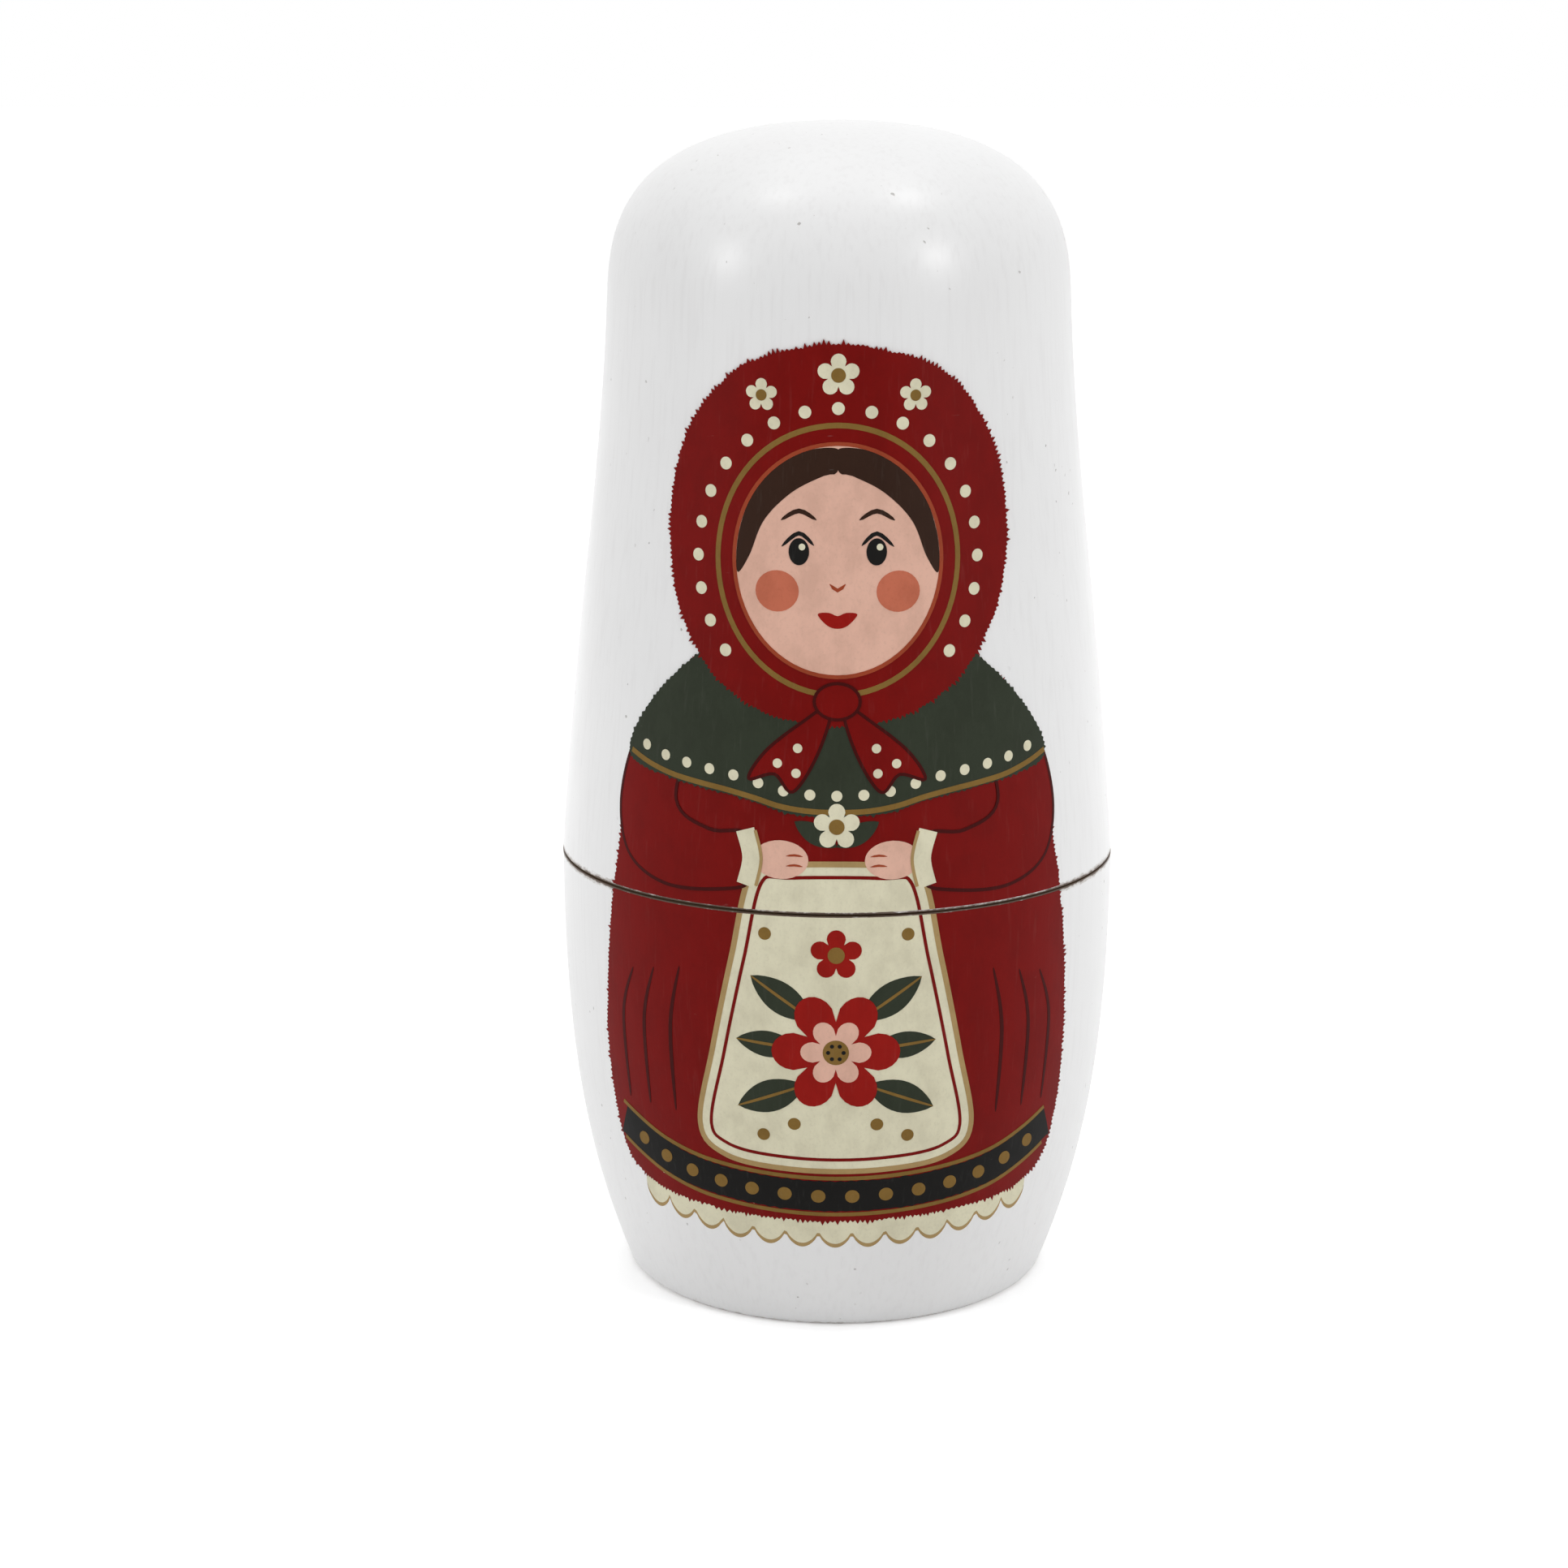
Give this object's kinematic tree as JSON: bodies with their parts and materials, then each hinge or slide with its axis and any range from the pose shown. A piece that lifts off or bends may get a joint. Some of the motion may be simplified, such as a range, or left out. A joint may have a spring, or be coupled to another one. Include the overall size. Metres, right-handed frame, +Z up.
{
  "type": "matryoshka doll",
  "caption": "Turned wooden nesting doll with a flat foot and domed head, in halves that lift apart at a waist seam to show smaller dolls nested inside.",
  "frame": {"origin": "middle of the outer doll's flat foot", "axes": "+Z up along the dolls' common turning axis; the painted front faces -Y"},
  "size_m": [0.0762, 0.0762, 0.1587],
  "materials": {
    "painted_wood": "satin white paint",
    "bare_wood": "fine turned, unpainted",
    "figure_paint": "satin brushed paint"
  },
  "bodies": {
    "outer_bottom": {"outer_bottom_half": "painted_wood"},
    "second_bottom": {"second_bottom_half": "painted_wood"},
    "third_bottom": {"third_bottom_half": "painted_wood"},
    "fourth_bottom": {"fourth_bottom_half": "painted_wood"},
    "smallest": {"smallest_doll": "painted_wood"},
    "fourth_top": {"fourth_top_half": "painted_wood"},
    "third_top": {"third_top_half": "painted_wood"},
    "second_top": {"second_top_half": "painted_wood"},
    "outer_top": {"outer_top_half": "painted_wood"}
  },
  "joints": [
    {"name": "second_doll_lift", "type": "slide", "parent": "outer_bottom", "child": "second_bottom", "axis": [0, 0, 1], "range_m": [0, 0.068]},
    {"name": "third_doll_lift", "type": "slide", "parent": "second_bottom", "child": "third_bottom", "axis": [0, 0, 1], "range_m": [0, 0.055]},
    {"name": "fourth_doll_lift", "type": "slide", "parent": "third_bottom", "child": "fourth_bottom", "axis": [0, 0, 1], "range_m": [0, 0.043]},
    {"name": "smallest_doll_lift", "type": "slide", "parent": "fourth_bottom", "child": "smallest", "axis": [0, 0, 1], "range_m": [0, 0.032]},
    {"name": "fourth_top_lift", "type": "slide", "parent": "smallest", "child": "fourth_top", "axis": [0, 0, 1], "range_m": [0, 0.03]},
    {"name": "third_top_lift", "type": "slide", "parent": "fourth_top", "child": "third_top", "axis": [0, 0, 1], "range_m": [0, 0.044]},
    {"name": "second_top_lift", "type": "slide", "parent": "third_top", "child": "second_top", "axis": [0, 0, 1], "range_m": [0, 0.06]},
    {"name": "outer_top_lift", "type": "slide", "parent": "second_top", "child": "outer_top", "axis": [0, 0, 1], "range_m": [0, 0.078]}
  ]
}
